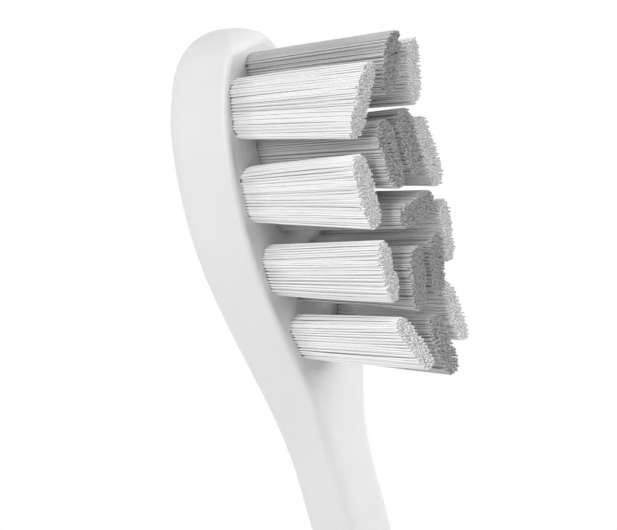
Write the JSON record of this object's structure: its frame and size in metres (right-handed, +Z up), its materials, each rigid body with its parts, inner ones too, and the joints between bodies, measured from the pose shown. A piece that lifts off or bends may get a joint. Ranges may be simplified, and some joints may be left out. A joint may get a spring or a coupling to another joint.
{
  "type": "electric toothbrush head",
  "caption": "Push-on head for a sonic electric toothbrush: slim neck, oval face with white edge tufts and grey inner tufts, and a spring-clip shaft socket in the base.",
  "frame": {"origin": "centre of the shaft bore's mouth, in the plane of the base", "axes": "+Z up the shaft axis to the toe of the head, bristles point along -Y, +X to the right seen from the bristle side"},
  "size_m": [0.014, 0.0221, 0.0772],
  "materials": {
    "white_plastic": "satin moulded",
    "plate_plastic": "satin moulded",
    "white_bristle": "drawn nylon filament",
    "grey_bristle": "drawn nylon filament",
    "socket_plastic": "moulded",
    "spring_steel": "rolled strip",
    "ring_plastic": "satin moulded"
  },
  "bodies": {
    "root": {"head_and_neck": "white_plastic", "bristle_plate": "plate_plastic", "side_tuft_left_1": "white_bristle", "side_tuft_left_2": "white_bristle", "side_tuft_left_3": "white_bristle", "side_tuft_left_4": "white_bristle", "side_tuft_right_1": "white_bristle", "side_tuft_right_2": "white_bristle", "side_tuft_right_3": "white_bristle", "side_tuft_right_4": "white_bristle", "inner_tuft_left_1": "grey_bristle", "inner_tuft_left_2": "grey_bristle", "inner_tuft_right_1": "grey_bristle", "inner_tuft_right_2": "grey_bristle", "toe_tuft": "grey_bristle", "centre_tuft": "grey_bristle", "heel_tuft": "grey_bristle", "shaft_socket": "socket_plastic", "spring_clip": "spring_steel", "retaining_ring": "ring_plastic"}
  },
  "joints": []
}
